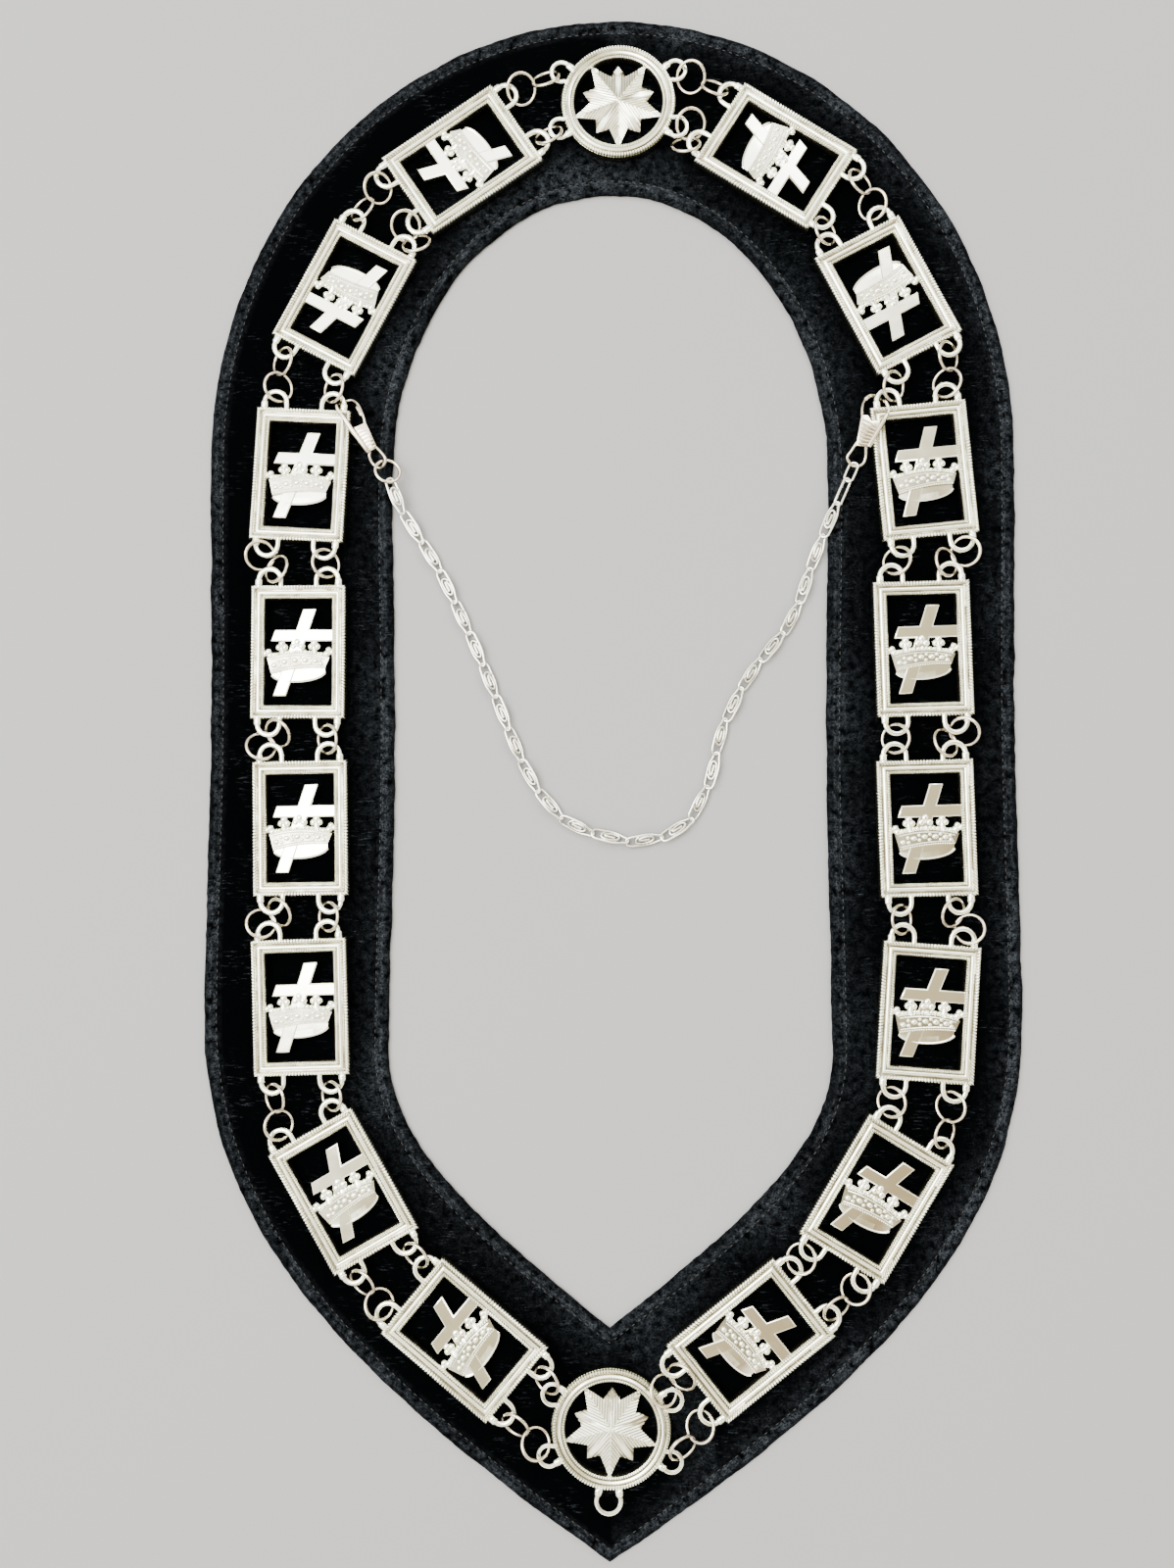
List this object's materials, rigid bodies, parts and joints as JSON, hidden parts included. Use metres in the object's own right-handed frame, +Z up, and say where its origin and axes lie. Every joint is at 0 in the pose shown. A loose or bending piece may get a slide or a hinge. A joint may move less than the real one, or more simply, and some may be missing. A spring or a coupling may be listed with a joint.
{
  "type": "chain collar",
  "caption": "Ceremonial chain collar lying flat: black velvet band with a pointed front, pierced cross-and-crown plates and star medallions joined by jump rings, and a fine neck chain on clips.",
  "frame": {"origin": "middle of the collar's footprint, on the surface that the velvet band rests on", "axes": "+X to the right seen from above, +Y from the pointed front to the rounded back of the neck, +Z up out of the face of the plates"},
  "size_m": [0.2688, 0.51, 0.0092],
  "materials": {
    "velvet": "black crushed velvet pile with a rolled, stitched hem",
    "nickel": "bright cast nickel plate, grooves slightly dulled",
    "ring_wire": "bright drawn wire and pressed sheet",
    "silver_chain": "bright scroll-link chain"
  },
  "bodies": {
    "root": {"velvet_band": "velvet", "plate_left_1": "nickel", "plate_left_2": "nickel", "plate_left_3": "nickel", "plate_left_4": "nickel", "plate_left_5": "nickel", "plate_left_6": "nickel", "plate_left_7": "nickel", "plate_left_8": "nickel", "plate_right_1": "nickel", "plate_right_2": "nickel", "plate_right_3": "nickel", "plate_right_4": "nickel", "plate_right_5": "nickel", "plate_right_6": "nickel", "plate_right_7": "nickel", "plate_right_8": "nickel", "medallion_top": "nickel", "medallion_bottom": "nickel", "rings_left_1_outer": "ring_wire", "rings_left_1_inner": "ring_wire", "rings_left_2_outer": "ring_wire", "rings_left_2_inner": "ring_wire", "rings_left_3_outer": "ring_wire", "rings_left_3_inner": "ring_wire", "rings_left_4_outer": "ring_wire", "rings_left_4_inner": "ring_wire", "rings_left_5_outer": "ring_wire", "rings_left_5_inner": "ring_wire", "rings_left_6_outer": "ring_wire", "rings_left_6_inner": "ring_wire", "rings_left_7_outer": "ring_wire", "rings_left_7_inner": "ring_wire", "rings_left_8_outer": "ring_wire", "rings_left_8_inner": "ring_wire", "rings_left_9_outer": "ring_wire", "rings_left_9_inner": "ring_wire", "rings_right_1_outer": "ring_wire", "rings_right_1_inner": "ring_wire", "rings_right_2_outer": "ring_wire", "rings_right_2_inner": "ring_wire", "rings_right_3_outer": "ring_wire", "rings_right_3_inner": "ring_wire", "rings_right_4_outer": "ring_wire", "rings_right_4_inner": "ring_wire", "rings_right_5_outer": "ring_wire", "rings_right_5_inner": "ring_wire", "rings_right_6_outer": "ring_wire", "rings_right_6_inner": "ring_wire", "rings_right_7_outer": "ring_wire", "rings_right_7_inner": "ring_wire", "rings_right_8_outer": "ring_wire", "rings_right_8_inner": "ring_wire", "rings_right_9_outer": "ring_wire", "rings_right_9_inner": "ring_wire", "clip_left": "ring_wire", "clip_right": "ring_wire", "end_ring": "ring_wire", "neck_chain": "silver_chain"}
  },
  "joints": []
}
